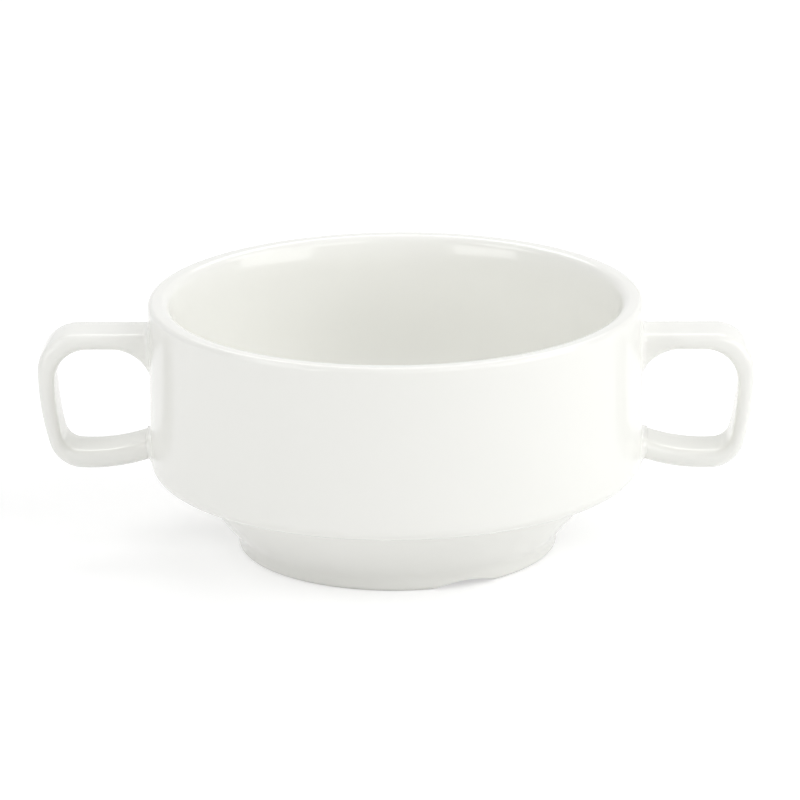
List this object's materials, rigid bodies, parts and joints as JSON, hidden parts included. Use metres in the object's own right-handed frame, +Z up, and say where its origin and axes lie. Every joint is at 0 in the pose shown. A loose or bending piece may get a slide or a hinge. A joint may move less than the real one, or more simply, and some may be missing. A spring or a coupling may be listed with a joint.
{
  "type": "bouillon cup",
  "caption": "Straight-sided stacking soup cup with a stepped base, a foot ring and loop handles on opposite sides, in white glazed porcelain.",
  "frame": {"origin": "middle of the foot ring's underside, on the table", "axes": "+X through the middle of a loop handle, +Z up along the bowl's axis, so the pictured front faces -Y"},
  "size_m": [0.1594, 0.11, 0.0568],
  "materials": {
    "porcelain": "gloss"
  },
  "bodies": {
    "root": {"bouillon_cup": "porcelain"}
  },
  "joints": []
}
